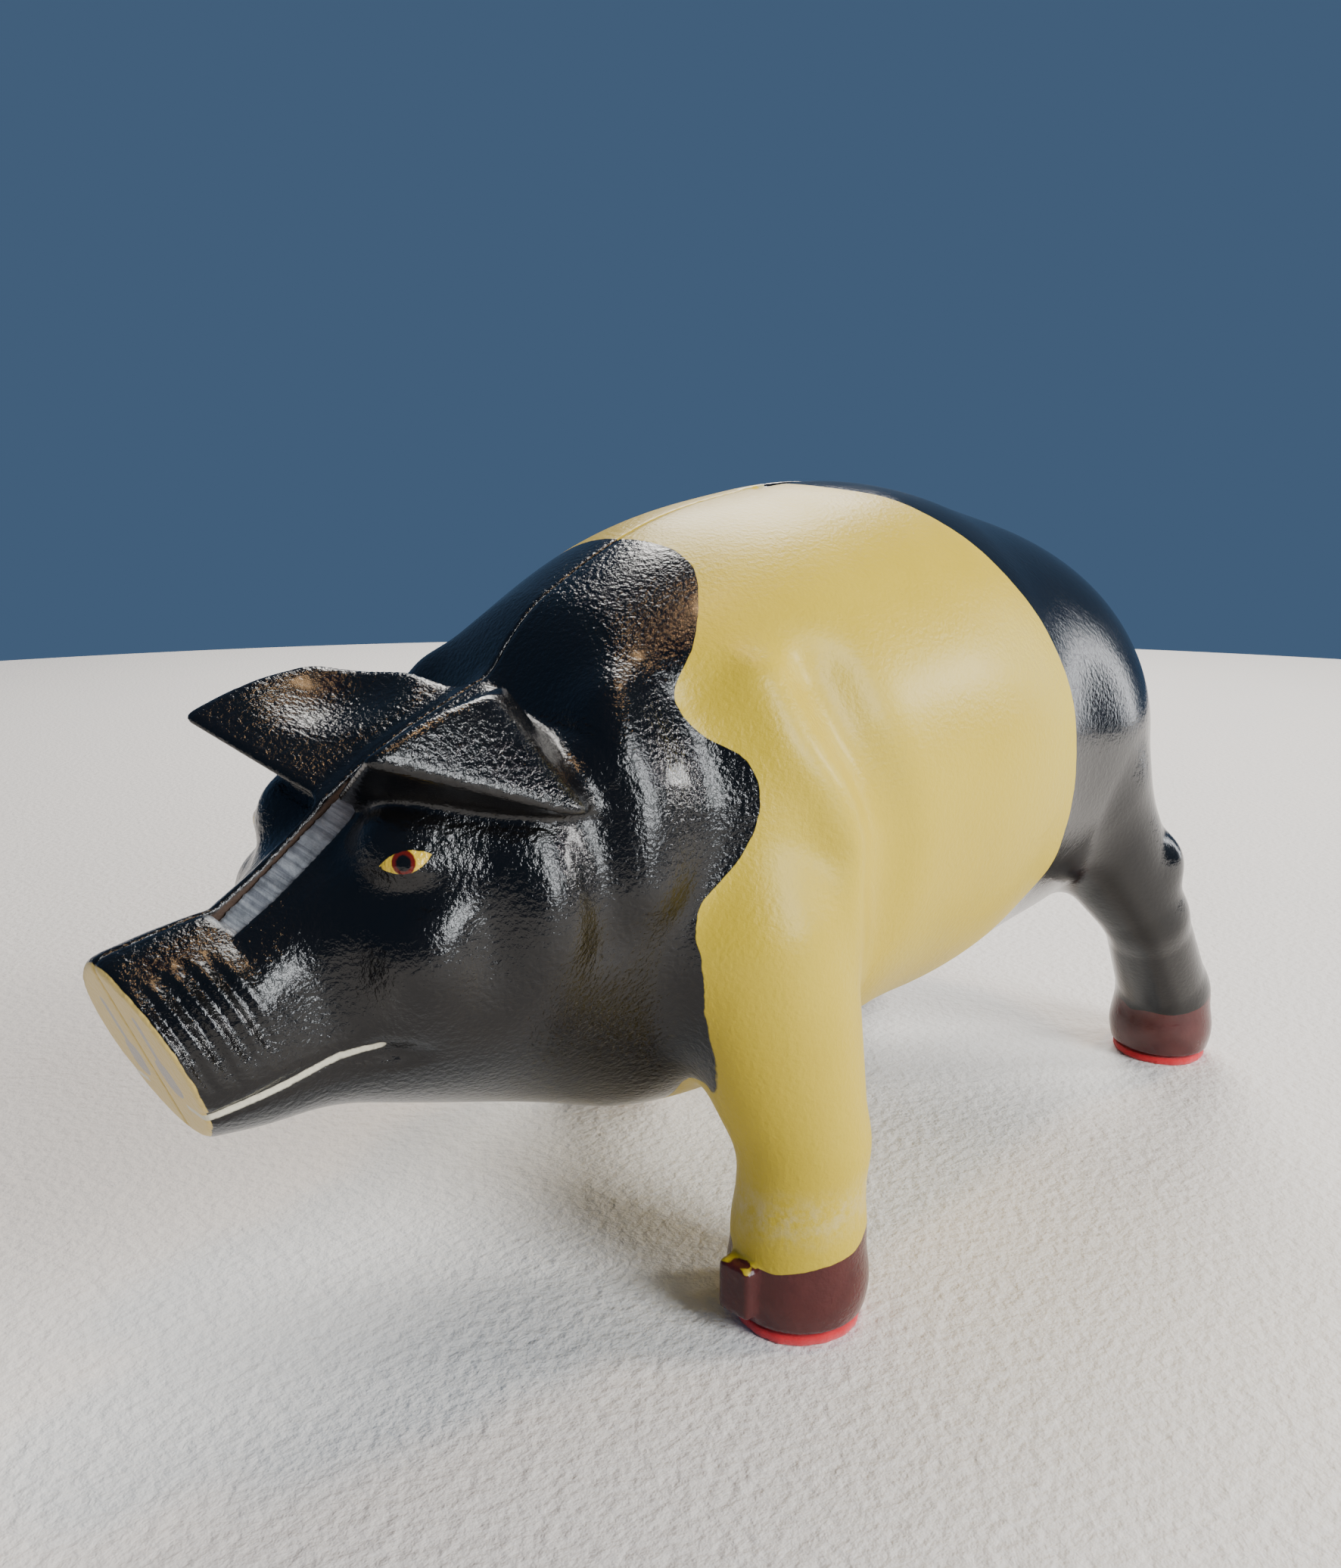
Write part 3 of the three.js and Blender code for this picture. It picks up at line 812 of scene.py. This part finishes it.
def make_castings():
    material = enamel()
    for name, side, body in (("left_half", -1, "left_casting"), ("right_half", 1, "right_casting")):
        low = (-137.0, -66.0 if side < 0 else -1.0, 0.0)
        high = (136.0, 5.0 if side < 0 else 66.0, 150.0)
        points, faces = mesh_field(lambda p: casting(p, side), low, high, VOXEL)
        piece = new_piece(name, points, faces)
        paint_casting(piece, points, side)
        finish_piece(piece, material, body, f"{name}_casting")


def screw_field(p):
    """Long machine screw with a slotted cheese head."""
    angle = np.arctan2(p[..., 2] - SCREW_Z, p[..., 0] - SCREW_X) / (2 * math.pi)
    turn = (p[..., 1] / THREAD_PITCH - angle) % 1.0
    thread = np.where(p[..., 1] < POST_END + 3, THREAD_DEPTH * np.abs(2 * turn - 1), 0.0)
    across = np.hypot(p[..., 0] - SCREW_X, p[..., 2] - SCREW_Z)
    shank = both(across - SHANK_RADIUS + thread, SCREW_TIP + 0.02 - p[..., 1], 1.2)
    shank = np.maximum(shank, p[..., 1] - HEAD_SEAT - 1)
    half = HEAD_HEIGHT / 2
    thick = np.abs(p[..., 1] - HEAD_SEAT - half) - half
    head = both(across - HEAD_RADIUS + 0.02, thick + 0.02, 0.8)
    groove = np.maximum(np.abs(p[..., 2] - SCREW_Z) - 0.6, SCREW_TOP - 1.2 - p[..., 1])
    return join(shank, cut(head, groove, 0.2), 0.3)


def make_screw():
    low = (SCREW_X - 6.5, SCREW_TIP - 1, SCREW_Z - 6.5)
    high = (SCREW_X + 6.5, SCREW_TOP + 1, SCREW_Z + 6.5)
    points, faces = mesh_field(screw_field, low, high, 0.2)
    piece = new_piece("screw", points, faces)
    finish_piece(piece, steel(), "screw", "assembly_screw")


def make_pad(place, material):
    """Felt disc with a soft, slightly uneven edge."""
    x, y = FEET[place]
    around = 120
    rings = (
        (0.0, 1.0), (0.5, 1.0), (0.9, 1.0), (0.975, 0.96), (1.0, 0.8),
        (1.0, 0.2), (0.975, 0.04), (0.9, 0.0), (0.5, 0.0), (0.0, 0.0),
    )
    points = []
    for share, level in rings:
        for i in range(around):
            turn = 2 * math.pi * i / around
            uneven = 0.1 * math.sin(5 * turn + x) + 0.06 * math.sin(17 * turn + y)
            uneven += 0.04 * math.sin(41 * turn)
            radius = share * (PAD_RADIUS - 0.25 + uneven)
            along, across = radius * math.cos(turn), radius * math.sin(turn)
            points.append((x + along, y + across, level * PAD_THICKNESS))
    faces = []
    for ring in range(len(rings) - 1):
        for i in range(around):
            a, b = ring * around + i, ring * around + (i + 1) % around
            faces.append((a, a + around, b + around, b))
    piece = new_piece(f"felt_{place}", np.array(points, np.float32), faces)
    shape = bmesh.new()
    shape.from_mesh(piece.data)
    bmesh.ops.remove_doubles(shape, verts=shape.verts, dist=1e-6)
    shape.to_mesh(piece.data)
    shape.free()
    body = "left_casting" if place.endswith("left") else "right_casting"
    finish_piece(piece, material, body, f"felt_pad_{place}")


make_castings()
make_screw()
RED_FELT = felt()
for foot in PLACES:
    make_pad(foot, RED_FELT)


# ---- Floor, light and camera ---------------------------------------------------------

FLOOR_RADIUS = 1.15                           # metres, to the edge behind the pig


def make_floor():
    mesh = bpy.data.meshes.new("floor")
    around = 256
    turns = [2 * math.pi * i / around for i in range(around)]
    rim = [(FLOOR_RADIUS * math.cos(turn), FLOOR_RADIUS * math.sin(turn), 0) for turn in turns]
    mesh.from_pydata(rim, [], [tuple(range(around))])
    made = bpy.data.objects.new("floor", mesh)
    bpy.context.scene.collection.objects.link(made)
    mesh.materials.append(floor_paint())


def make_world():
    world = bpy.data.worlds.new("studio")
    bpy.context.scene.world = world
    world.use_nodes = True
    background = world.node_tree.nodes["Background"]
    background.inputs["Color"].default_value = (0.10, 0.185, 0.33, 1)
    background.inputs["Strength"].default_value = 0.6


def make_light(name, azimuth, elevation, distance, size, power, colour, shape="RECTANGLE"):
    """Soft box that faces the pig."""
    light = bpy.data.lights.new(name, "AREA")
    light.shape = shape
    light.size, light.size_y = size
    light.energy = power
    light.color = colour
    made = bpy.data.objects.new(name, light)
    target = Vector((0, 0, 0.08))
    a, e = math.radians(azimuth), math.radians(elevation)
    way = Vector((math.cos(e) * math.cos(a), math.cos(e) * math.sin(a), math.sin(e)))
    made.location = target + distance * way
    made.rotation_euler = (target - made.location).to_track_quat("-Z", "Y").to_euler()
    bpy.context.scene.collection.objects.link(made)


def make_camera():
    """Close wide view from the front left, just above the back."""
    camera = bpy.data.cameras.new("camera")
    camera.sensor_width = 36                  # millimetres, along the picture's height
    camera.lens = 28.4247104
    camera.clip_start = 0.01
    made = bpy.data.objects.new("camera", camera)
    made.location = ((SHIFT - 192.9) * MM, -0.1679, 0.140)
    forward = Vector((0.70032, 0.68101, -0.21397))
    made.rotation_euler = forward.to_track_quat("-Z", "Y").to_euler()
    bpy.context.scene.collection.objects.link(made)
    bpy.context.scene.camera = made


make_floor()
make_world()
make_light("window", -88, 26, 1.3, (0.45, 0.8), 22, (0.95, 0.98, 1.0))
make_light("side", -43, 20, 1.5, (0.26, 0.26), 11, (1.0, 0.98, 0.95), "ELLIPSE")
make_light("rim", -18, 12, 1.5, (0.14, 0.8), 2.6, (0.97, 0.98, 1.0))
make_light("lamp", -40, 80, 1.3, (0.16, 0.16), 4, (1.0, 0.62, 0.3), "ELLIPSE")
make_light("key", 38, 46, 1.6, (0.8, 0.8), 30, (1.0, 0.96, 0.9))
make_camera()
